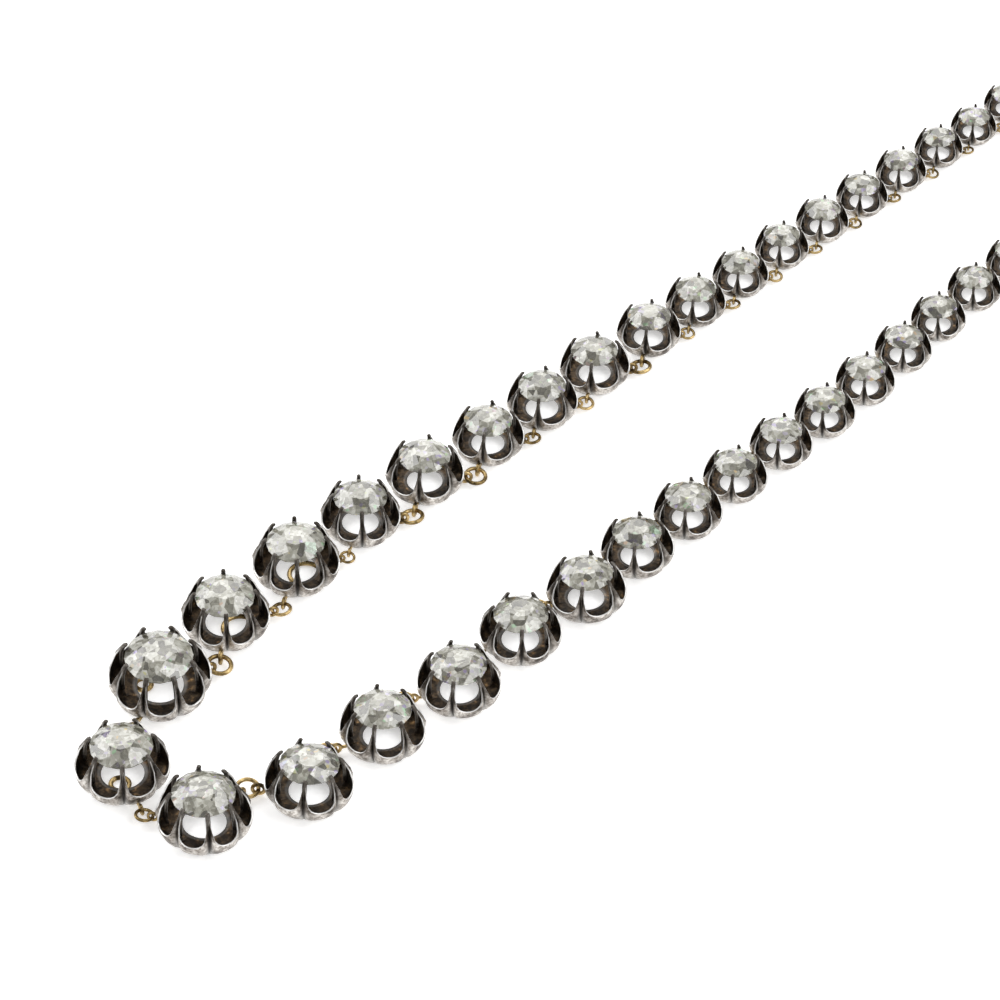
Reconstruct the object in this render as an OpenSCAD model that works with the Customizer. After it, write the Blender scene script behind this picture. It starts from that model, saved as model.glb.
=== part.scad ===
// Riviere necklace: graduated stones in scalloped cup settings, joined by rings in one closed loop.
// It lies on z = 0 with its front turn towards -Y and its clasp towards +Y.

/* [Loop] */
// Settings to the right of the front one
right_count = 27; // [24:1:30]
// Settings to the left of the front one
left_count = 29; // [26:1:32]
// Part of the front half turn that lies to the right of the front setting
front_place = 0.3; // [0.2:0.05:0.5]
// Widest space between two settings
widest_space = 2.4; // [2.2:0.1:2.8]

/* [Setting] */
// Diameter of the largest setting over its lobes
setting_d = 10.4; // [9:0.1:11]
// Height of the largest setting to its claw tips
setting_h = 6.1; // [5.5:0.1:6.6]
// Thickness of the cup walls
wall = 0.28; // [0.2:0.02:0.36]
// Diameter from which a setting has eight lobes and claws instead of six
eight_lobe_d = 8.3; // [7.5:0.1:9]
// Most that an ordinary setting leans, in degrees
most_lean = 1.5; // [0:0.5:2.5]

/* [Stone] */
// Diameter of the stone in the largest setting
stone_d = 6.8; // [6:0.1:6.9]
// Height of its crown over the girdle
crown_h = 1.1; // [0.8:0.05:1.4]
// Depth of its point under the girdle
pavilion_h = 2.7; // [2:0.1:2.8]

/* [Rings and eyes] */
// Middle diameter of the widest ring
ring_d = 2.3; // [2.2:0.05:2.5]
// Wire thickness of that ring
ring_wire = 0.46; // [0.38:0.01:0.48]
// Wire thickness of the bars and eyes that go with it
eye_wire = 0.42; // [0.36:0.01:0.46]
// Play between that ring and its eyes
ring_play = 0.2; // [0.16:0.01:0.24]
// Part of the room between two cups that their ring takes
ring_fit = 0.66; // [0.6:0.01:0.68]

/* [Clasp] */
// Length of the clasp body
clasp_l = 7; // [6:0.1:8]
// Width of the clasp body
clasp_w = 3.6; // [3:0.1:4.4]
// Height of the clasp body
clasp_h = 2.4; // [2:0.1:3]
// Distance from the clasp body to the middle of the ring at each of its ends
clasp_arm = 1.5; // [1.3:0.1:2]

/* [Hidden] */

round_sides = 32;
wire_sides = 16;
bar_sides = 6;
arc_step = 5;
walk_rounds = 5;
ring_roll = 8;
lean_turn = 131;
heading_turn = 97;

// The way the loop lies, front turn first.
// Columns: distance behind the front turn, left strand, right strand.
route = [
    [0, -10.1, 10.2],
    [12, -12.4, 9.9],
    [22, -12.9, 10.8],
    [31, -13.2, 10.1],
    [40, -12.9, 10.7],
    [49, -12.3, 10],
    [64, -11.8, 9.7],
    [74, -11.7, 9.9],
    [85, -11.1, 9.3],
    [101, -10.7, 7.9],
    [121, -9.7, 7.8]
];
LEFT = 1;
RIGHT = 2;

// Graduation of the settings. They are counted from the front one, below zero to the left.
// Columns: setting number, share of the largest diameter.
shares = [
    [-29, 0.44], [-18, 0.49], [-16, 0.54], [-13, 0.565], [-12, 0.585], [-10, 0.66], [-9, 0.715],
    [-7, 0.73], [-6, 0.785], [-5, 0.8], [-4, 0.87], [-3, 0.875], [-2, 1], [-1, 0.915], [0, 0.925],
    [1, 0.86], [5, 0.79], [6, 0.73], [8, 0.65], [11, 0.61], [13, 0.57], [15, 0.55], [27, 0.44]
];
// Spaces between the settings. Columns: place between two setting numbers, share of the widest space.
spaces = [
    [-29.5, 0.5], [-28, 0.33], [-25.5, 0.125], [-18.5, 0.125], [-17.5, 0.06], [-15.5, 0.11],
    [-11.5, 0.11], [-10.5, 0.06], [-9.5, 0.33], [-8.5, 0.06], [-7.5, 0.06], [-6.5, 0.3], [-4.5, 0.25],
    [-3.5, 0.5], [-2.5, 0.54], [-1.5, 1], [-0.5, 0.375], [0.5, 0.625], [1.5, 0.625], [3.5, 0.33],
    [5.5, 0.1], [7.5, 0.06], [12.5, 0.06], [13.5, 0.14], [15.5, 0.06], [16.5, 0.125],
    [23.5, 0.125], [26, 0.33], [27.5, 0.5]
];
// Turn of the straight settings about the upright, left and right strand
usual_turns = [8, 5];
// Settings that stand less straight than the others.
// Columns: setting number, lean, heading of the lean, turn about the upright.
crooked = [
    [-5, 1, 90, -19],
    [-4, 1, -30, -22],
    [-3, 3, -45, 19],
    [-2, 6, -45, -17],
    [-1, 2, -45, 15],
    [0, 1, -45, -6],
    [1, 2, 60, -4],
    [2, 1, 90, -20],
    [3, 2, -60, -17],
    [4, 1, 45, -6]
];

// Outline of a cup from its outer foot over the rim to the hole in its bottom. Columns: radius and
// height share at a lobe, radius and height share at the fold between two lobes, and how
// much of the wall is taken off the radius at the lobe and at the fold.
cup_rows = [
    [0.71, 0, 0.64, 0, 0, 0],
    [0.93, 0.22, 0.78, 0.42, 0, 0],
    [1, 0.43, 0.74, 0.94, 0, 0],
    [1, 0.43, 0.66, 1, 1, 0],
    [0.93, 0.22, 0.72, 0.35, 1, 0],
    [0.44, 0.2, 0.44, 0.2, 0, 0]
];
// A lobe has one column of points at its fold and two on its swell.
lobe_columns = 3;
foot_share = cup_rows[0][0];
// Radius share of a fold and of a lobe at the height of the rings
neck_share = 0.73;
swell_share = 0.92;
// Radius share at which the bar of an eye starts inside the foot
root_share = 0.62;
// Height of the rings as a share of a cup's radius
ring_level = 0.18;
// How far the rings lie to the inside of the loop, or to its outside round the front turn.
// Columns: place between two setting numbers, share of half the way between them.
insets = [
    [-5.5, 0.64], [-4.5, 0.53], [-2.5, 0.53], [-1.5, -0.15], [-0.5, -0.53], [0.5, 0.53],
    [4.5, 0.53], [5.5, 0.62]
];
// Settings that have seven lobes, as some hand-made cups do
seven_lobed = [-1, 1, 2, 3, 4];
girdle_share = 0.88;
table_share = 0.55;
stone_sides = 8;

function total(list) = len(list) == 0 ? 0 : list * [for (item = list) 1];
function turned(p, angle) = [
    p.x * cos(angle) - p.y * sin(angle),
    p.x * sin(angle) + p.y * cos(angle),
    p.z
];
function share(k) = lookup(k, shares);
function space(k) = widest_space * lookup(k, spaces);
function cup_d(k) = setting_d * share(k);
function pitch(k) = (cup_d(k) + cup_d(k + 1)) / 2 + space(k + 0.5);
function turn_extra(r, chord) = PI * r - 180 * chord / (2 * asin(chord / (2 * r)));

// From setting k to the ring that joins it to its neighbour on that side, 1 or -1
function ring_away(k, side) = (cup_d(k) + space(k + side / 2)) / 2;
function eye_r(s) = (ring_wire + eye_wire + 2 * ring_play) * s / 2;
function inset(k, side) = at_clasp(k, side) ? 0
    : side * lookup(k + side / 2, insets) * pitch(min(k, k + side)) / 2;
// Height of the ring on that side of setting k, whose eye never reaches below the floor
function ring_z(k, side) = let (s = ring_scale(k, side))
    max(ring_level * cup_d(k) / 2, ring_level * cup_d(at_clasp(k, side) ? k : k + side) / 2,
        eye_r(s) + eye_wire * s / 2);

numbers = [-left_count : right_count];
clasp_reach = clasp_l + 2 * clasp_arm + ring_away(right_count, 1) + ring_away(-left_count, -1);

// Both strands run on until the whole row of settings and the clasp fit round the loop.
front_mid = (route[0][LEFT] + route[0][RIGHT]) / 2;
front_r = (route[0][RIGHT] - route[0][LEFT]) / 2;
last_row = route[len(route) - 1];
back_mid = (last_row[LEFT] + last_row[RIGHT]) / 2;
back_r = (last_row[RIGHT] - last_row[LEFT]) / 2;
function strand_length(column) = total([for (i = [1 : len(route) - 1])
    norm([route[i][0] - route[i - 1][0], route[i][column] - route[i - 1][column]])]);
row_length = total([for (k = [-left_count : right_count - 1]) pitch(k)])
    + turn_extra(front_r, pitch(-1)) + turn_extra(back_r, pitch(right_count - 1));
clasp_turn = back_r * asin(clasp_reach / (2 * back_r)) * PI / 90;
back_y = last_row[0] + (row_length + clasp_turn - strand_length(LEFT) - strand_length(RIGHT)
    - PI * (front_r + back_r)) / 2;

path_right = concat(
    [for (a = [90 : -arc_step : 0]) [back_mid + back_r * cos(a), back_y + back_r * sin(a)]],
    [for (i = [len(route) - 1 : -1 : 1]) [route[i][RIGHT], route[i][0]]]
);
path = concat(
    path_right,
    [for (a = [0 : -arc_step : -180]) [front_mid + front_r * cos(a), front_r * sin(a)]],
    [for (i = [1 : len(route) - 1]) [route[i][LEFT], route[i][0]]],
    [for (a = [180 : -arc_step : 90]) [back_mid + back_r * cos(a), back_y + back_r * sin(a)]]
);
way = [for (i = 0, s = 0; i < len(path);
    s = i + 1 < len(path) ? s + norm(path[i + 1] - path[i]) : s, i = i + 1) s];
way_x = [for (i = [0 : len(path) - 1]) [way[i], path[i].x]];
way_y = [for (i = [0 : len(path) - 1]) [way[i], path[i].y]];
function at(s) = [lookup(s, way_x), lookup(s, way_y)];

// The place along the way that is one pitch further on in a straight line
function step(s, chord, side, rounds) = rounds <= 0
    ? s + side * chord
    : let (t = step(s, chord, side, rounds - 1)) t + side * (chord - norm(at(t) - at(s)));
front_s = way[len(path_right)] + PI * front_r * front_place;
right_s = [for (k = 0, s = front_s; k <= right_count;
    s = step(s, pitch(k), -1, walk_rounds), k = k + 1) s];
left_s = [for (k = 0, s = front_s; k <= left_count;
    s = step(s, pitch(-k - 1), 1, walk_rounds), k = k + 1) s];
spots = [for (k = numbers) at(k < 0 ? left_s[-k] : right_s[k])];

// The origin is in the middle of the loop's outline.
function outline(axis, side) = side * max([for (i = [0 : len(spots) - 1])
    side * spots[i][axis] + cup_d(i - left_count) / 2]);
middle = [outline(0, 1) + outline(0, -1), outline(1, 1) + outline(1, -1)] / 2;
function centre(k) = spots[k + left_count] - middle;
clasp_mid = (centre(right_count) + centre(-left_count)) / 2;
function at_clasp(k, side) = k + side > right_count || k + side < -left_count;
function beside(k, side) = at_clasp(k, side) ? clasp_mid : centre(k + side);
function bearing(v) = atan2(v.y, v.x);
function towards(k, side) = bearing(beside(k, side) - centre(k));
function crooked_row(k) = [for (row = crooked) if (row[0] == k) row];
function stance(k) = len(crooked_row(k)) > 0
    ? crooked_row(k)[0]
    : [k, most_lean * abs(sin(k * lean_turn)), k * heading_turn, usual_turns[k < 0 ? 0 : 1]];
function lean(k) = stance(k)[1];
function lean_heading(k) = stance(k)[2];
function lobes(k) = len([for (n = seven_lobed) if (n == k) n]) > 0 ? 7
    : cup_d(k) > eight_lobe_d ? 8 : 6;

// A straight cup turns a lobe, not a fold, towards its neighbours.
function cup_turn(k) = bearing(beside(k, 1) - beside(k, -1)) + 180 / lobes(k) + stance(k)[3];

// A ring is the widest one made smaller by a scale, so that it fits between the two cups.
// Its room at a cup is widest where it meets a fold and narrowest where it meets a lobe.
function ring_heading(k, side) = towards(k, side) + atan2(inset(k, side), ring_away(k, side));
function ring_reach(k, side) = norm([ring_away(k, side), inset(k, side)]);
function off_fold(k, side) = let (a = (ring_heading(k, side) - cup_turn(k)) * lobes(k) / 360)
    min(1, abs(a - round(a)) * lobe_columns);
function ring_room(k, side) = ring_reach(k, side)
    - cup_d(k) / 2 * (neck_share + (swell_share - neck_share) * off_fold(k, side));
function ring_scale(k, side) = min(1, 2 * ring_fit / (ring_d + ring_wire)
    * min(ring_room(k, side), at_clasp(k, side) ? ring_room(k, side) : ring_room(k + side, -side)));

// A point of setting k, leant and lifted until the foot stands on the floor, then set in its place
function leant(p, k) = let (a = lean(k), h = lean_heading(k), q = turned(p, -h))
    turned([q.x * cos(a) + q.z * sin(a), q.y, q.z * cos(a) - q.x * sin(a)], h)
    + [0, 0, foot_share * cup_d(k) / 2 * sin(a)];
function placed(p, k) = leant(turned(p, cup_turn(k)), k) + [centre(k).x, centre(k).y, 0];

function cup_columns(k) = lobes(k) * lobe_columns;
function cup_point(k, row, j) = let (
    fold = j % lobe_columns == 0,
    r = row[fold ? 2 : 0] * cup_d(k) / 2 - row[fold ? 5 : 4] * wall,
    z = row[fold ? 3 : 1] * setting_h * share(k)
) placed(turned([r, 0, z], 360 * j / cup_columns(k)), k);
function cup_points(k) = [for (row = cup_rows) for (j = [0 : cup_columns(k) - 1])
    cup_point(k, row, j)];
function cup_faces(k) = let (n = cup_columns(k), rows = len(cup_rows)) [
    for (i = [0 : rows - 1]) for (j = [0 : n - 1])
    let (a = i * n + j, b = i * n + (j + 1) % n, c = (i + 1) % rows * n + j,
        d = (i + 1) % rows * n + (j + 1) % n)
    each j % lobe_columns == 0 ? [[a, d, b], [a, c, d]] : [[a, c, b], [b, c, d]]
];

function stone_points(k) = let (
    r = stone_d * share(k) / 2,
    girdle_z = girdle_share * setting_h * share(k),
    around = [for (j = [0 : stone_sides - 1]) (j + 0.5) * 360 / stone_sides]
) [
    for (a = around) placed(turned([r * table_share, 0, girdle_z + crown_h * share(k)], a), k),
    for (a = around) placed(turned([r, 0, girdle_z], a), k),
    placed([0, 0, girdle_z - pavilion_h * share(k)], k)
];
stone_faces = let (n = stone_sides) [
    [for (j = [n - 1 : -1 : 0]) j],
    for (j = [0 : n - 1]) [j, (j + 1) % n, n + (j + 1) % n, n + j],
    for (j = [0 : n - 1]) [n + j, n + (j + 1) % n, 2 * n]
];

module cup(k) {
    polyhedron(cup_points(k), cup_faces(k));
}

module wire_ring(d, wire) {
    rotate_extrude($fn = round_sides)
        translate([d / 2, 0])
            circle(d = wire, $fn = wire_sides);
}

// The eye that takes the ring on that side, on a short bar out of the cup's foot
module bar_and_eye(k, side) {
    s = ring_scale(k, side);
    eye_x = ring_reach(k, side) - ring_d * s / 2;
    root_x = root_share * cup_d(k) / 2;
    wire = eye_wire * s;
    translate([centre(k).x, centre(k).y, ring_z(k, side)])
        rotate([0, 0, ring_heading(k, side)]) {
            translate([root_x, 0, 0])
                rotate([0, 90, 0])
                    cylinder(d = wire, h = eye_x - eye_r(s) - root_x, $fn = bar_sides);
            translate([eye_x, 0, 0])
                rotate([90, 0, 0])
                    wire_ring(2 * eye_r(s), wire);
        }
}

module setting(k) {
    cup(k);
    bar_and_eye(k, 1);
    bar_and_eye(k, -1);
}

module stone(k) {
    polyhedron(stone_points(k), stone_faces);
}

// The ring between setting k and its neighbour on that side
module ring(k, side) {
    s = ring_scale(k, side);
    translate([centre(k).x, centre(k).y, ring_z(k, side)])
        rotate([0, 0, towards(k, side)])
            translate([ring_away(k, side), inset(k, side), 0])
                rotate([k % 2 == 0 ? ring_roll : -ring_roll, 0, 0])
                    wire_ring(ring_d * s, ring_wire * s);
}

module settings_left() {
    color("gray")
        for (k = [-left_count : -1])
            setting(k);
}

module settings_right() {
    color("gray")
        for (k = [0 : right_count])
            setting(k);
}

module stones_left() {
    color("whitesmoke")
        for (k = [-left_count : -1])
            stone(k);
}

module stones_right() {
    color("whitesmoke")
        for (k = [0 : right_count])
            stone(k);
}

module rings_left() {
    color("goldenrod")
        for (k = [-left_count : -1])
            ring(k, -1);
}

module rings_right() {
    color("goldenrod") {
        ring(0, -1);
        for (k = [0 : right_count])
            ring(k, 1);
    }
}

// The clasp's half towards end setting k: its eye and the wire that carries it
module clasp_arm_to(k) {
    side = sign(k);
    s = ring_scale(k, side);
    wire = eye_wire * s;
    eye_x = norm(centre(k) - clasp_mid) - ring_away(k, side) - ring_d * s / 2;
    translate([clasp_mid.x, clasp_mid.y, ring_z(k, side)])
        rotate([0, 0, towards(k, side) + 180]) {
            rotate([0, 90, 0])
                cylinder(d = wire, h = eye_x - eye_r(s), $fn = bar_sides);
            translate([eye_x, 0, 0])
                rotate([90, 0, 0])
                    wire_ring(2 * eye_r(s), wire);
        }
}

module clasp() {
    color("goldenrod") {
        translate([clasp_mid.x, clasp_mid.y, 0])
            rotate([0, 0, bearing(centre(right_count) - clasp_mid)])
                intersection() {
                    translate([-clasp_l / 2, -clasp_w / 2, 0])
                        cube([clasp_l, clasp_w, clasp_h]);
                    cylinder(d = clasp_l, h = clasp_h, $fn = round_sides);
                }
        clasp_arm_to(right_count);
        clasp_arm_to(-left_count);
    }
}

settings_left();
settings_right();
stones_left();
stones_right();
rings_left();
rings_right();
clasp();
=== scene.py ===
import math
import random
import bmesh
import bpy
from mathutils import Matrix, Vector


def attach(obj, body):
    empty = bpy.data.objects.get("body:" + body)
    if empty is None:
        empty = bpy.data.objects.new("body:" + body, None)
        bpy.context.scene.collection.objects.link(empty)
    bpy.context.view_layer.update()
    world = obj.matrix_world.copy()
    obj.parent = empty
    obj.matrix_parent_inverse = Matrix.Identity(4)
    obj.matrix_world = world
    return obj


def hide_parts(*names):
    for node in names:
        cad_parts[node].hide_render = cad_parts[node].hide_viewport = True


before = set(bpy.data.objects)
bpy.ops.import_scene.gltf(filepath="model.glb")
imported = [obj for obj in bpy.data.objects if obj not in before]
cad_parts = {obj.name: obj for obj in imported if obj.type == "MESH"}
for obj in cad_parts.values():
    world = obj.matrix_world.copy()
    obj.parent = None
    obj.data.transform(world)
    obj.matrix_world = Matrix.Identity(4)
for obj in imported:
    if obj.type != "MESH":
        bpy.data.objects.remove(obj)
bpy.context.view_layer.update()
mm = 0.001
print("frame loaded")

# camera, at the photograph's angle
photoView = {
    "elevation": 42.88,            # degrees above the horizon
    "yaw": -44.13,                 # degrees, 0 looks along +Y
    "distance": 0.6927,
    "lens": 246.83,
    "target": (-0.00491, -0.03858, 0),   # the floor point in the middle of the picture
    "sensor": 36,
    "clip": (0.05, 10),
}


def makeCamera():
    camera = bpy.data.objects.new("camera", bpy.data.cameras.new("camera"))
    bpy.context.collection.objects.link(camera)
    elevation, yaw = math.radians(photoView["elevation"]), math.radians(photoView["yaw"])
    ahead = Vector((math.sin(yaw) * math.cos(elevation), math.cos(yaw) * math.cos(elevation),
                    -math.sin(elevation)))
    camera.location = Vector(photoView["target"]) - ahead * photoView["distance"]
    camera.rotation_euler = (math.pi / 2 - elevation, 0, -yaw)
    camera.data.sensor_width = photoView["sensor"]
    camera.data.lens = photoView["lens"]
    camera.data.clip_start, camera.data.clip_end = photoView["clip"]
    bpy.context.scene.camera = camera


makeCamera()

# the sizes that the solids give to the largest setting
largest = {
    "stoneRadius": 3.4 * mm,
    "cupRadius": 5.2 * mm,
    "cupHeight": 6.1 * mm,
    "girdleHeight": 0.88 * 6.1 * mm,
    "crown": 1.1 * mm,
    "pavilion": 2.7 * mm,
    "ringRadius": 1.15 * mm,       # middle of the wire, widest ring
    "ringWire": 0.46 * mm,
    "eyeRadius": 0.64 * mm,
    "eyeWire": 0.42 * mm,
}

# how settings and rings are told apart in the solids
reading = {
    "girdlePoints": 8,             # of a stone, next above its lowest point
    "clawHeight": 0.985,           # share of a cup's height above which its points are claws
    "tooFar": 1.6,                 # a second setting this many times farther holds no ring
}


def looseParts(nodeName):
    # the separate solids of a node, each as a list of points
    bm = bmesh.new()
    bm.from_mesh(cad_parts[nodeName].data)
    bmesh.ops.remove_doubles(bm, verts=bm.verts, dist=0.001 * mm)
    parts, seen = [], set()
    for start in bm.verts:
        if start in seen:
            continue
        seen.add(start)
        part, waiting = [], [start]
        while waiting:
            vert = waiting.pop()
            part.append(vert.co.copy())
            for edge in vert.link_edges:
                other = edge.other_vert(vert)
                if other not in seen:
                    seen.add(other)
                    waiting.append(other)
        parts.append(part)
    bm.free()
    return parts


def middleOf(points):
    return sum(points, Vector()) / len(points)


def readRings():
    rings = []
    for nodeName in ("rings_left", "rings_right"):
        for points in looseParts(nodeName):
            middle = middleOf(points)
            reach = max((p - middle).length for p in points)
            rings.append({
                "middle": middle,
                "scale": reach / (largest["ringRadius"] + largest["ringWire"] / 2),
            })
    return rings


def readSettings(side):
    # a stone's lowest point and its girdle points say where the cup stands and how it leans,
    # and the highest points of the cup are its claws
    cupsFound = looseParts("settings_" + side)
    settings = []
    for points in looseParts("stones_" + side):
        points.sort(key=lambda p: p.z)
        point, girdle = points[0], points[1:reading["girdlePoints"] + 1]
        middle = middleOf(girdle)
        axis = (middle - point).normalized()
        share = max((p - middle).length for p in girdle) / largest["stoneRadius"]
        foot = middle - axis * largest["girdleHeight"] * share
        upright = Vector((0, 0, 1)).rotation_difference(axis).inverted()
        around = min(cupsFound, key=lambda part: (part[0] - middle).length)
        tips = [upright @ (p - foot) for p in around]
        lowestClaw = largest["cupHeight"] * share * reading["clawHeight"]
        tips = [p for p in tips if p.z > lowestClaw]
        turn = math.atan2(tips[0].y, tips[0].x)
        settings.append({
            "place": Matrix.Translation(foot) @ upright.inverted().to_matrix().to_4x4()
                     @ Matrix.Rotation(turn, 4, "Z"),
            "foot": foot,
            "share": share,
            "radius": largest["cupRadius"] * share,
            "lobes": len(tips),
            "rings": [],
        })
    settings.sort(key=lambda setting: setting["foot"].y)
    return settings


def joinRings(rings, settings):
    # each ring goes with the one or two settings beside it
    for ring in rings:
        def away(setting):
            return (setting["foot"].xy - ring["middle"].xy).length
        near = sorted(settings, key=away)[:2]
        if away(near[1]) > reading["tooFar"] * away(near[0]):
            near = near[:1]
        for setting in near:
            setting["rings"].append(ring)


rings = readRings()
sides = {side: readSettings(side) for side in ("left", "right")}
joinRings(rings, sides["left"] + sides["right"])
lobeCounts = sorted({setting["lobes"] for side in sides.values() for setting in side})
print("settings:", [len(side) for side in sides.values()], "rings:", len(rings),
      "lobes:", lobeCounts)

# silver cups
# lengths are shares of the cup's radius, and an outline's points are height and radius
cups = {
    "lobeOutline": [(0, 0.70), (0.06, 0.755), (0.15, 0.86), (0.27, 0.935), (0.4, 0.977),
                    (0.52, 0.99), (0.68, 0.978), (0.84, 0.93), (1, 0.83), (1.12, 0.74),
                    (1.18, 0.7)],
    "foldOutline": [(0, 0.65), (0.25, 0.735), (0.49, 0.78), (0.8, 0.775), (1, 0.75),
                    (1.1, 0.715), (1.18, 0.66)],
    "lobeRoundness": 4,
    # rows of the wall, as shares of the way up to the sill, and up from the bowl to the sill
    "outsideRows": (0, 0.05, 0.13, 0.25, 0.4, 0.55, 0.7, 0.85, 0.955),
    "insideRows": (0.955, 0.8, 0.6, 0.4, 0.2, 0),
    # rim between them. Columns: share of the wall's thickness, way below the sill
    "rimRows": [(0.2, 0.006), (0.75, 0.004)],
    "windowLow": 0.46,             # lowest place of a window's sill
    "windowTop": 1.07,             # where the strips between the windows end at the claws
    "windowWidth": 0.84,           # share of the lobe that a window takes
    "windowCorner": 4,
    "wall": 0.042,
    "bowlHeight": 0.31,
    "holeRadius": 0.44,
    "holeHeight": 0.235,
    # from the bowl to the hole and under it. Columns: radius beyond the hole's, height above
    # the hole's, wear with painted highlight, painted shade, inside. The foot's rows have their
    # height above the ground, and their painted shade darkens the cup's underside.
    "holeRows": [(0.26, 0.025, 0, 0, 1), (0.1, 0.008, 0, 0, 1), (0.01, 0, 0.2, 0, 1),
                 (0, -0.02, 0.3, 0, 1), (0.08, -0.12, 0, 0.3, 0)],
    "footRows": [(0.16, 0.02, 0, 0.3, 0), (0.18, 0, 0, 0.3, 0)],
    "columnsPerLobe": 16,
    "weld": 1e-5,
    "foldWidth": 0.22,             # share of half a lobe that the painted shade in a fold's groove takes, under each claw
    "finDark": (0.5, 0.85),        # heights between which the strips below the claws turn dark
    "finGroove": 0.85,             # how dark they turn, as the claws are
    "footFloorSheen": 0.55,              # how bright the foot is painted: a painted reflection of the white floor
    "footSheenTop": 0.5,               # share of the way up to the sill where that painted reflection ends
    "ridgeWearAndSheen": 0.2,              # how bright the rim's wear and painted highlight are at the folds
    "rimGroove": 0.6,              # how much of a fold's painted shade shows on the rim
    # how much of a fold's painted shade shows inside the bowl
    "insideGroove": 0.5,
    # a claw from its root to its blunt end. Columns: radius, height, half its width, half its depth
    "claw": [(0.76, 0.5, 0.04, 0.04), (0.765, 0.7, 0.05, 0.042), (0.752, 0.92, 0.052, 0.045),
             (0.718, 1.05, 0.052, 0.045), (0.676, 1.12, 0.048, 0.042), (0.642, 1.15, 0.044, 0.034)],
    "clawSides": 10,
}


def onOutline(outline, height):
    for (h0, r0), (h1, r1) in zip(outline, outline[1:]):
        if height <= h1:
            t = max(0, (height - h0) / (h1 - h0))
            return r0 + (r1 - r0) * t
    return outline[-1][1]


def outsideRadius(across, height):
    # across runs from -1 to 1 between the two folds of a lobe
    fold, lobe = onOutline(cups["foldOutline"], height), onOutline(cups["lobeOutline"], height)
    return fold + (lobe - fold) * math.sqrt(max(0, 1 - abs(across) ** cups["lobeRoundness"]))


def sillHeight(across):
    part = min(1, abs(across) / cups["windowWidth"])
    rise = 1 - (1 - part ** 2) ** (1 / cups["windowCorner"])
    return cups["windowLow"] + (cups["windowTop"] - cups["windowLow"]) * rise


def cupProfile(across):
    # the wall's section from the outer foot, over the rim, down the inside and round the
    # foot hole. Columns: radius, height, wear and painted highlight, painted shade (plain darkening
    # on the strips below the claws), inside
    sill, wall = sillHeight(across), cups["wall"]
    # painted shade in the creases of the folds
    fold = max(0, 1 - (1 - abs(across)) / cups["foldWidth"])
    finLow, finHigh = cups["finDark"]
    # the rim: worn bright and given a painted highlight, less at the folds
    bright = 1 if abs(across) <= cups["windowWidth"] else cups["ridgeWearAndSheen"]
    section = []
    for part in cups["outsideRows"]:
        height = part * sill
        shadeAndDark = max(fold, min(cups["finGroove"], (height - finLow) / (finHigh - finLow)))
        # painted reflection of the white floor on the lower foot
        wearAndSheen = cups["footFloorSheen"] * max(0, 1 - part / cups["footSheenTop"])
        section.append((outsideRadius(across, height), height, wearAndSheen, shadeAndDark, 0))
    edge = outsideRadius(across, sill)
    for part, below in cups["rimRows"]:
        shadeAndDark = fold * cups["rimGroove"]
        section.append((edge - wall * part, sill - below, bright, shadeAndDark, 0))
    for part in cups["insideRows"]:
        height = cups["bowlHeight"] + (sill - cups["bowlHeight"]) * part
        shadeAndDark = fold * cups["insideGroove"]
        section.append((outsideRadius(across, height) - wall, height, 0, shadeAndDark, 1))
    hole, plate = cups["holeRadius"], cups["holeHeight"]
    for beyond, above, *finishAndLight in cups["holeRows"]:
        section.append((hole + beyond, plate + above, *finishAndLight))
    for beyond, height, *finishAndLight in cups["footRows"]:
        section.append((hole + beyond, height, *finishAndLight))
    section.append(section[0])
    return section


def edgesOf(verts):
    # each edge once, in the order of the points
    return list(dict.fromkeys(edge for vert in verts for edge in vert.link_edges))


def addClaw(bm, turned):
    # an oval drawn up along the fold, leaning with it, and closed at both ends
    last = len(cups["claw"]) - 1

    def station(number):
        radius, height, width, depth = cups["claw"][number]
        before, after = cups["claw"][max(0, number - 1)], cups["claw"][min(number + 1, last)]
        slope = math.atan2(after[0] - before[0], after[1] - before[1])
        return (turned @ Matrix.Translation((radius, 0, height)) @ Matrix.Rotation(slope, 4, "Y")
                @ Matrix.Diagonal((depth, width, 1, 1)))
    verts = bmesh.ops.create_circle(bm, cap_ends=True, segments=cups["clawSides"], radius=1,
                                    matrix=station(0))["verts"]
    made = list(verts)
    edges = edgesOf(verts)
    for number in range(1, last + 1):
        drawn = bmesh.ops.extrude_edge_only(bm, edges=edges)["geom"]
        verts = [part for part in drawn if isinstance(part, bmesh.types.BMVert)]
        edges = [part for part in drawn if isinstance(part, bmesh.types.BMEdge)]
        onward = station(number) @ station(number - 1).inverted()
        bmesh.ops.transform(bm, verts=verts, matrix=onward)
        made += verts
    bmesh.ops.edgenet_fill(bm, edges=edges)
    return made


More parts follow.
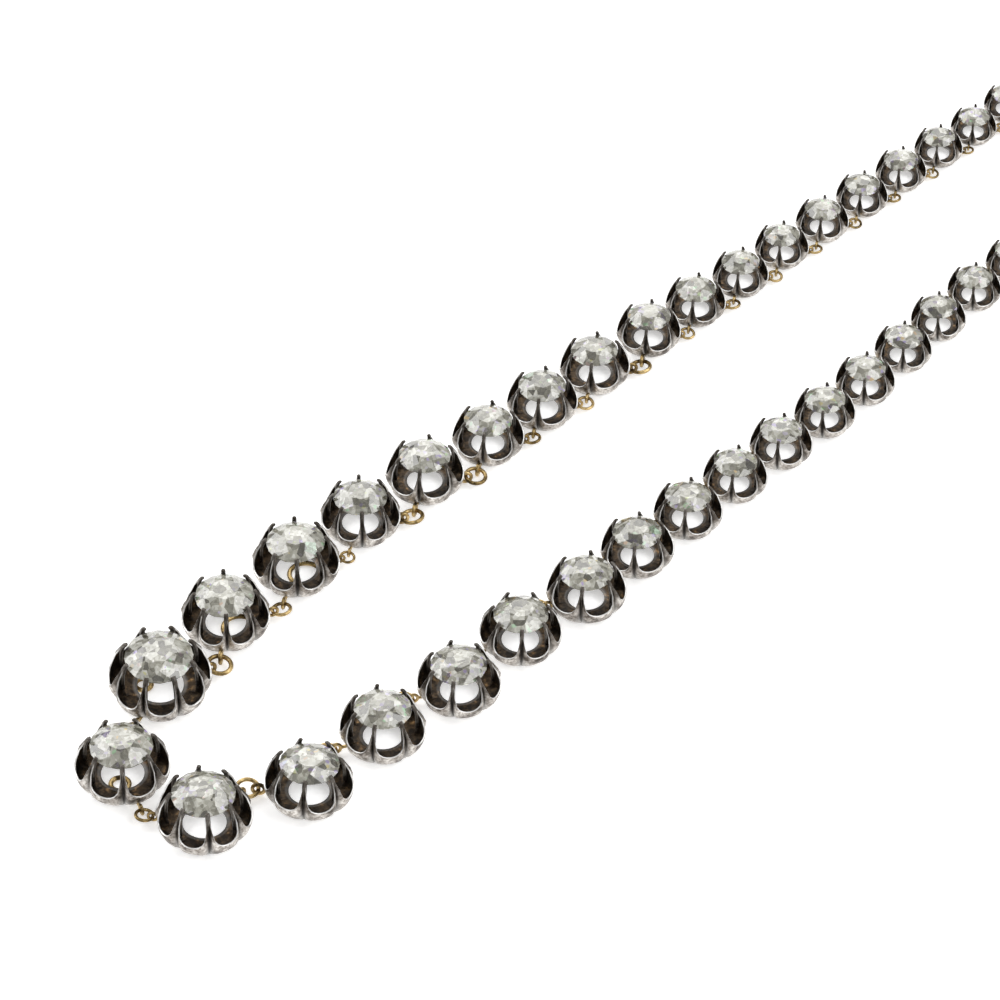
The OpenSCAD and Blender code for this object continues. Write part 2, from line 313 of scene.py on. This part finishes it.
def makeCup(lobes):
    # a sheet of squares, bent round into the lobed wall and welded to itself
    bm = bmesh.new()
    # the colour layer holds wear with painted highlights, painted shade and the bowl's share
    finishAndLight = bm.verts.layers.float_color.new("finishAndLight")
    perLobe = cups["columnsPerLobe"]
    columns, rows = lobes * perLobe, len(cupProfile(0)) - 1
    bmesh.ops.create_grid(bm, x_segments=columns, y_segments=rows, size=0.5)
    profiles = [cupProfile(-math.cos(math.pi * step / perLobe)) for step in range(perLobe)]
    for vert in bm.verts:
        column = round((vert.co.x + 0.5) * columns)
        row = round((vert.co.y + 0.5) * rows)
        lobe, step = divmod(column, perLobe)
        across = -math.cos(math.pi * step / perLobe)
        radius, height, wearAndSheen, shadeAndDark, inside = profiles[step][row]
        angle = (lobe + (across + 1) / 2) * math.tau / lobes
        vert.co = (radius * math.cos(angle), radius * math.sin(angle), height)
        vert[finishAndLight] = (wearAndSheen, shadeAndDark, inside, 1)
    bmesh.ops.remove_doubles(bm, verts=bm.verts, dist=cups["weld"])
    for fold in range(lobes):
        for vert in addClaw(bm, Matrix.Rotation(fold * math.tau / lobes, 4, "Z")):
            vert[finishAndLight] = (0, cups["finGroove"], 0, 1)
    bmesh.ops.recalc_face_normals(bm, faces=bm.faces)
    for face in bm.faces:
        face.smooth = True
    return bm


def addTo(whole, bm, place):
    # puts a copy of bm, moved to its place, into the whole
    part = bm.copy()
    part.transform(place)
    passing = bpy.data.meshes.new("passing")
    part.to_mesh(passing)
    whole.from_mesh(passing)
    bpy.data.meshes.remove(passing)
    part.free()


def newPiece(name, bm, material, slotName, *nodes):
    mesh = bpy.data.meshes.new(name)
    bm.to_mesh(mesh)
    bm.free()
    mesh.materials.append(material)
    piece = bpy.data.objects.new(name, mesh)
    bpy.context.collection.objects.link(piece)
    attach(piece, "root")
    if nodes:
        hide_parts(*nodes)


# materials
def newMaterial(name):
    material = bpy.data.materials.new(name)
    material.use_nodes = True
    nodes = material.node_tree.nodes
    return material, nodes, material.node_tree.links, nodes["Principled BSDF"]


def addNoise(nodes, links, scale, detail, roughness=0.6):
    coordinates = nodes.new("ShaderNodeTexCoord")
    speckle = nodes.new("ShaderNodeTexNoise")
    speckle.inputs["Scale"].default_value = scale
    speckle.inputs["Detail"].default_value = detail
    speckle.inputs["Roughness"].default_value = roughness
    links.new(coordinates.outputs["Object"], speckle.inputs["Vector"])
    return speckle.outputs["Fac"]


def addRamp(nodes, links, value, stops):
    ramp = nodes.new("ShaderNodeValToRGB")
    elements = ramp.color_ramp.elements
    for index, (place, colour) in enumerate(stops):
        # a new ramp has its two end stops, so the middle ones come last
        stop = elements[index] if index < 2 else elements.new(place)
        stop.position = place
        stop.color = (*colour, 1)
    links.new(value, ramp.inputs["Fac"])
    return ramp.outputs["Color"]


def addMix(nodes, links, factor, first, second, kind="MIX"):
    mix = nodes.new("ShaderNodeMix")
    mix.data_type = "RGBA"
    mix.blend_type = kind
    if isinstance(factor, float):
        mix.inputs["Factor"].default_value = factor
    else:
        links.new(factor, mix.inputs["Factor"])
    # 6, 7 and 2 are the colour sockets A, B and Result
    for socket, value in ((mix.inputs[6], first), (mix.inputs[7], second)):
        if isinstance(value, tuple):
            socket.default_value = (*value, 1)
        else:
            links.new(value, socket)
    return mix.outputs[2]


def addBump(nodes, links, height, strength, distance, shader):
    bump = nodes.new("ShaderNodeBump")
    bump.inputs["Strength"].default_value = strength
    bump.inputs["Distance"].default_value = distance
    links.new(height, bump.inputs["Height"])
    links.new(bump.outputs["Normal"], shader.inputs["Normal"])


oldSilver = {
    # patterns: spots to a metre, detail
    "patches": (750, 5),
    "blobs": (1400, 2),
    "grain": (3500, 4),
    # stops: place in the pattern, colour. The first three are the outside, the next the bowl.
    "tarnish": (0.36, (0.1, 0.083, 0.068)),
    "dull": (0.48, (0.42, 0.385, 0.35)),
    "clean": (0.62, (0.78, 0.745, 0.7)),
    # the bowl: oxidised near-black brown, darkened further as painted shade in the hollow, with
    # painted glints
    "inside": (0.38, (0.02, 0.014, 0.009)),
    "brown": (0.62, (0.075, 0.05, 0.028)),
    "glint": (0.78, (0.3, 0.18, 0.08)),
    "speckles": [(0.38, (0.42, 0.39, 0.36)), (0.56, (1, 1, 1))],
    "outsideSpeckled": 0.85,
    "bowlSpeckled": 0.8,
    # worn rims with a painted highlight, and the foot's painted reflection of the floor
    "edge": (0.84, 0.83, 0.81),
    # painted shade for the folds and under the foot; also the darker claws
    "shadeAndDark": (0.05, 0.042, 0.034),
    "metallic": 0.85,
    "roughness": [(0.3, (0.48, 0.48, 0.48)), (0.7, (0.3, 0.3, 0.3))],
    "bump": (0.35, 0.04 * mm),     # strength, depth
}


def silverMaterial():
    material, nodes, links, shader = newMaterial("old_silver")
    patches = addNoise(nodes, links, *oldSilver["patches"])
    blobs = addNoise(nodes, links, *oldSilver["blobs"])
    grain = addNoise(nodes, links, *oldSilver["grain"])
    outside = addRamp(nodes, links, patches,
                      [oldSilver["tarnish"], oldSilver["clean"], oldSilver["dull"]])
    speckled = addRamp(nodes, links, grain, oldSilver["speckles"])
    outside = addMix(nodes, links, oldSilver["outsideSpeckled"], outside, speckled, "MULTIPLY")
    # the bowl's oxidised near-black with its painted shade and painted glints
    bowl = addRamp(nodes, links, blobs,
                   [oldSilver["inside"], oldSilver["glint"], oldSilver["brown"]])
    bowl = addMix(nodes, links, oldSilver["bowlSpeckled"], bowl, speckled, "MULTIPLY")
    finishAndLight = nodes.new("ShaderNodeAttribute")
    finishAndLight.attribute_name = "finishAndLight"
    parts = nodes.new("ShaderNodeSeparateColor")
    links.new(finishAndLight.outputs["Color"], parts.inputs["Color"])
    colour = addMix(nodes, links, parts.outputs["Blue"], outside, bowl)
    # painted shade in the folds and under the foot, and the darker claws
    colour = addMix(nodes, links, parts.outputs["Green"], colour, oldSilver["shadeAndDark"])
    # painted highlight and wear on the rims, painted floor reflection on the foot
    colour = addMix(nodes, links, parts.outputs["Red"], colour, oldSilver["edge"])
    links.new(colour, shader.inputs["Base Color"])
    shader.inputs["Metallic"].default_value = oldSilver["metallic"]
    gloss = addRamp(nodes, links, grain, oldSilver["roughness"])
    links.new(gloss, shader.inputs["Roughness"])
    addBump(nodes, links, grain, *oldSilver["bump"], shader)
    return material


oldGold = {
    "patches": (700, 4),
    "grain": (3200, 3),
    "dark": (0.33, (0.05, 0.034, 0.016)),
    "dull": (0.47, (0.27, 0.19, 0.08)),
    "bright": (0.64, (0.62, 0.46, 0.22)),
    "roughness": [(0.3, (0.4, 0.4, 0.4)), (0.7, (0.2, 0.2, 0.2))],
    "bump": (0.4, 0.04 * mm),
}


def goldMaterial():
    material, nodes, links, shader = newMaterial("old_gold")
    patches = addNoise(nodes, links, *oldGold["patches"])
    grain = addNoise(nodes, links, *oldGold["grain"])
    colour = addRamp(nodes, links, patches,
                     [oldGold["dark"], oldGold["bright"], oldGold["dull"]])
    links.new(colour, shader.inputs["Base Color"])
    shader.inputs["Metallic"].default_value = 1
    gloss = addRamp(nodes, links, grain, oldGold["roughness"])
    links.new(gloss, shader.inputs["Roughness"])
    addBump(nodes, links, grain, *oldGold["bump"], shader)
    return material


def addCells(nodes, links, scale):
    # one random number for each cell
    coordinates = nodes.new("ShaderNodeTexCoord")
    cells = nodes.new("ShaderNodeTexVoronoi")
    cells.inputs["Scale"].default_value = scale
    links.new(coordinates.outputs["Object"], cells.inputs["Vector"])
    parts = nodes.new("ShaderNodeSeparateColor")
    links.new(cells.outputs["Color"], parts.inputs["Color"])
    return parts.outputs["Red"]


# painted reflections and fire: the many small pictures of each other that the facets of an old
# stone show
stoneLight = {
    "largeCells": 1300,            # cells to a metre
    "smallCells": 3000,
    "greys": [(0, (0.13, 0.122, 0.1)), (1, (1, 1, 0.98)), (0.22, (0.36, 0.35, 0.3)),
              (0.5, (0.66, 0.655, 0.6))],
    "sparks": [(0, (0.48, 0.47, 0.42)), (1, (1, 1, 1)), (0.9, (1, 1, 1)), (0.955, (0.6, 0.5, 1)),
               (0.97, (1, 0.75, 0.4)), (0.985, (0.6, 1, 0.7))],
    "through": 0.35,
    "ior": 2.2,
    "roughness": 0.04,
}


def stoneMaterial():
    material, nodes, links, shader = newMaterial("old_cut_stone")
    largeCells = addCells(nodes, links, stoneLight["largeCells"])
    large = addRamp(nodes, links, largeCells, stoneLight["greys"])
    smallCells = addCells(nodes, links, stoneLight["smallCells"])
    small = addRamp(nodes, links, smallCells, stoneLight["sparks"])
    colour = addMix(nodes, links, 1.0, large, small, "MULTIPLY")
    tintAndFacetLight = nodes.new("ShaderNodeAttribute")
    tintAndFacetLight.attribute_name = "tintAndFacetLight"
    colour = addMix(nodes, links, 1.0, colour, tintAndFacetLight.outputs["Color"], "MULTIPLY")
    links.new(colour, shader.inputs["Base Color"])
    shader.inputs["Transmission Weight"].default_value = stoneLight["through"]
    shader.inputs["IOR"].default_value = stoneLight["ior"]
    shader.inputs["Roughness"].default_value = stoneLight["roughness"]
    return material


silver, gold, crystal = silverMaterial(), goldMaterial(), stoneMaterial()

cupShapes = {lobes: makeCup(lobes) for lobes in lobeCounts}
for side, settings in sides.items():
    whole = bmesh.new()
    whole.verts.layers.float_color.new("finishAndLight")
    for setting in settings:
        place = setting["place"] @ Matrix.Scale(setting["radius"], 4)
        addTo(whole, cupShapes[setting["lobes"]], place)
    newPiece("cups_" + side, whole, silver, "silver", "settings_" + side)
print("cups made")

# stones, an old hand-made cut with a small table and an open culet
# lengths are shares of the stone's radius
stoneCut = {
    "mains": 8,                    # main facets round the crown and round the pavilion
    "table": 0.47,
    "star": 0.72,                  # where the star facets meet the upper girdle facets
    "crown": largest["crown"] / largest["stoneRadius"],
    "girdle": 0.03,
    "lowerHalves": 0.42,
    "culet": 0.14,
    "pavilion": largest["pavilion"] / largest["stoneRadius"],
    "unevenness": 0.012,
    "flatWithin": 2.5,             # degrees between two facets that are made one
    # painted reflections on the facets: the table painted the brightest, every other facet a random
    # grey, and a few painted with fire
    "facesUp": 0.99,               # upright part of a normal above which a facet is the table
    "greys": (0.72, 0.98),
    "warmth": (1, 0.99, 0.93),
    "fire": [(0.7, 0.62, 0.95), (1, 0.8, 0.55), (0.7, 0.95, 0.75), (1, 0.95, 0.6)],
    "fireShare": 0.01,
}


def makeStone(seed):
    chance = random.Random(seed)
    cut = stoneCut
    bm = bmesh.new()
    half = math.pi / cut["mains"]

    def uneven():
        return 1 + chance.uniform(-1, 0) * cut["unevenness"]

    def ring(radius, height, start=0, count=cut["mains"]):
        for step in range(count):
            angle = start + step * math.tau / count
            r = radius * uneven()
            bm.verts.new((r * math.cos(angle), r * math.sin(angle), height))

    def onLine(radius, near, far):
        # height of a point on the plane of a main facet that runs from near to far
        out = radius * math.cos(half) - near[0]
        return near[1] + (far[1] - near[1]) * out / (far[0] - near[0])

    table, edge = (cut["table"], cut["crown"]), (1, cut["girdle"] / 2)
    lowEdge, culet = (1, -cut["girdle"] / 2), (cut["culet"], -cut["pavilion"])
    ring(*table)
    ring(cut["star"], onLine(cut["star"], table, edge), half)
    ring(*edge, count=2 * cut["mains"])
    ring(*lowEdge, count=2 * cut["mains"])
    ring(cut["lowerHalves"], onLine(cut["lowerHalves"], lowEdge, culet), half)
    ring(*culet)
    hull = bmesh.ops.convex_hull(bm, input=bm.verts)
    hidden = [vert for vert in hull["geom_interior"] if vert.is_valid]
    bmesh.ops.delete(bm, geom=hidden, context="VERTS")
    bmesh.ops.dissolve_limit(bm, angle_limit=math.radians(cut["flatWithin"]), verts=bm.verts,
                             edges=bm.edges)
    bmesh.ops.recalc_face_normals(bm, faces=bm.faces)
    tintAndFacetLight = bm.loops.layers.float_color.new("tintAndFacetLight")
    for face in bm.faces:
        face.smooth = False
        # painted reflection: the table brightest, the other facets random greys; the warmth is the
        # stone's own
        grey = 1 if face.normal.z > cut["facesUp"] else chance.uniform(*cut["greys"])
        colour = [grey * part for part in cut["warmth"]]
        # painted fire on a few facets
        if chance.random() < cut["fireShare"]:
            colour = chance.choice(cut["fire"])
        for loop in face.loops:
            loop[tintAndFacetLight] = (*colour, 1)
    return bm


for side, settings in sides.items():
    whole = bmesh.new()
    whole.loops.layers.float_color.new("tintAndFacetLight")
    for number, setting in enumerate(settings):
        shape = makeStone(number * 2 + (side == "left"))
        size = largest["stoneRadius"] * setting["share"]
        seat = Matrix.Translation((0, 0, largest["girdleHeight"] * setting["share"]))
        addTo(whole, shape, setting["place"] @ seat @ Matrix.Scale(size, 4))
        shape.free()
    newPiece("cut_stones_" + side, whole, crystal, "stone", "stones_" + side)
print("stones made")

# gold eyes that take the rings, each on a short bar out of its cup's foot
barShape = {
    "sides": 12,
    "eyeSteps": 28,
    "root": 0.62,                  # share of the cup's radius at which a bar starts
}


def wireEye(bm, radius, wire, place):
    # a round wire spun into a closed eye in its XZ plane
    circle = bmesh.ops.create_circle(bm, segments=barShape["sides"], radius=wire / 2,
                                     matrix=Matrix.Translation((radius, 0, 0)))
    edges = edgesOf(circle["verts"])
    spun = bmesh.ops.spin(bm, geom=circle["verts"] + edges, cent=(0, 0, 0), axis=(0, 1, 0),
                          angle=math.tau, steps=barShape["eyeSteps"], use_merge=True)
    faces = {face for vert in circle["verts"] for face in vert.link_faces}
    verts = set(circle["verts"])
    waiting = list(faces)
    while waiting:
        face = waiting.pop()
        for vert in face.verts:
            if vert not in verts:
                verts.add(vert)
                waiting += [other for other in vert.link_faces if other not in faces]
                faces.update(vert.link_faces)
    bmesh.ops.transform(bm, matrix=place, verts=list(verts))


# loops that lie in the feet of some front cups and show through their windows
footLoops = {
    "wire": 0.5 * mm,
    # strand, place along it from the front, radius, way from the middle of the foot
    "found": [
        ("left", 0, 0.9 * mm, (0.25 * mm, -0.65 * mm)),
        ("left", 1, 0.8 * mm, (-2.09 * mm, -0.36 * mm)),
        ("left", 2, 1.65 * mm, (0.97 * mm, 0.94 * mm)),
        ("left", 3, 1.6 * mm, (0.65 * mm, 0.64 * mm)),
    ],
}


def addFootLoops(whole, side, settings):
    for strand, number, radius, way in footLoops["found"]:
        if strand == side:
            middle = settings[number]["foot"].xy + Vector(way)
            wireEye(whole, radius, footLoops["wire"],
                    Matrix.Translation((*middle, footLoops["wire"] / 2))
                    @ Matrix.Rotation(math.pi / 2, 4, "X"))


for side, settings in sides.items():
    whole = bmesh.new()
    addFootLoops(whole, side, settings)
    for setting in settings:
        for ring in setting["rings"]:
            away = (ring["middle"] - setting["foot"]).xy
            wire = largest["eyeWire"] * ring["scale"]
            eyeRadius = largest["eyeRadius"] * ring["scale"]
            eyeAt = away.length - largest["ringRadius"] * ring["scale"]
            root = barShape["root"] * setting["radius"]
            length = eyeAt - eyeRadius - root
            place = (Matrix.Translation((*setting["foot"].xy, ring["middle"].z))
                     @ Matrix.Rotation(math.atan2(away.y, away.x), 4, "Z"))
            wireEye(whole, eyeRadius, wire, place @ Matrix.Translation((eyeAt, 0, 0)))
            along = (place @ Matrix.Translation((root + length / 2, 0, 0))
                     @ Matrix.Rotation(math.pi / 2, 4, "Y"))
            bmesh.ops.create_cone(whole, cap_ends=True, segments=barShape["sides"],
                                  radius1=wire / 2, radius2=wire / 2, depth=length, matrix=along)
    bmesh.ops.recalc_face_normals(whole, faces=whole.faces)
    for face in whole.faces:
        face.smooth = len(face.verts) == 4
    newPiece("bars_" + side, whole, gold, "gold", "settings_" + side)
for nodeName in ("rings_left", "rings_right", "clasp"):
    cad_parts[nodeName].data.materials.clear()
    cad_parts[nodeName].data.materials.append(gold)
print("bars, eyes and rings made")

# floor and light
studio = {
    "floorSize": 3,
    "floorColour": (0.93, 0.93, 0.93),
    "floorGlow": 0.4,
    "floorRoughness": 0.9,
    "floorShine": 0.1,
    "skyStrength": 0.45,
    "transmissionBounces": 16,
    "bounces": 20,
    "lights": [
        # place, width, watts
        ((-0.6, 0.65, 0.85), 1.4, 8.5),
        ((-1.1, -0.4, 0.8), 1.3, 9.5),
        ((0.9, 0.45, 0.9), 1.3, 9.5),
        ((0.35, -0.6, 0.9), 0.14, 1.2),
    ],
}


def makeStudio():
    bm = bmesh.new()
    bmesh.ops.create_grid(bm, x_segments=1, y_segments=1, size=studio["floorSize"])
    mesh = bpy.data.meshes.new("floor")
    bm.to_mesh(mesh)
    bm.free()
    floor = bpy.data.objects.new("floor", mesh)
    bpy.context.collection.objects.link(floor)
    material, nodes, links, shader = newMaterial("pale_floor")
    shader.inputs["Base Color"].default_value = (*studio["floorColour"], 1)
    shader.inputs["Roughness"].default_value = studio["floorRoughness"]
    shader.inputs["Specular IOR Level"].default_value = studio["floorShine"]
    shader.inputs["Emission Color"].default_value = (1, 1, 1, 1)
    shader.inputs["Emission Strength"].default_value = studio["floorGlow"]
    mesh.materials.append(material)
    world = bpy.data.worlds.new("sky")
    world.use_nodes = True
    background = world.node_tree.nodes["Background"]
    background.inputs["Color"].default_value = (1, 1, 1, 1)
    background.inputs["Strength"].default_value = studio["skyStrength"]
    bpy.context.scene.world = world
    for number, (place, width, watts) in enumerate(studio["lights"]):
        lamp = bpy.data.lights.new("softbox%d" % number, "AREA")
        lamp.shape, lamp.size, lamp.energy = "DISK", width, watts
        light = bpy.data.objects.new(lamp.name, lamp)
        bpy.context.collection.objects.link(light)
        light.location = place
        aim = Vector((0, 0, 0)) - light.location
        light.rotation_euler = aim.to_track_quat("-Z", "Y").to_euler()
    bpy.context.scene.view_settings.view_transform = "Standard"
    bpy.context.scene.cycles.transmission_bounces = studio["transmissionBounces"]
    bpy.context.scene.cycles.max_bounces = studio["bounces"]


makeStudio()
print("studio made")
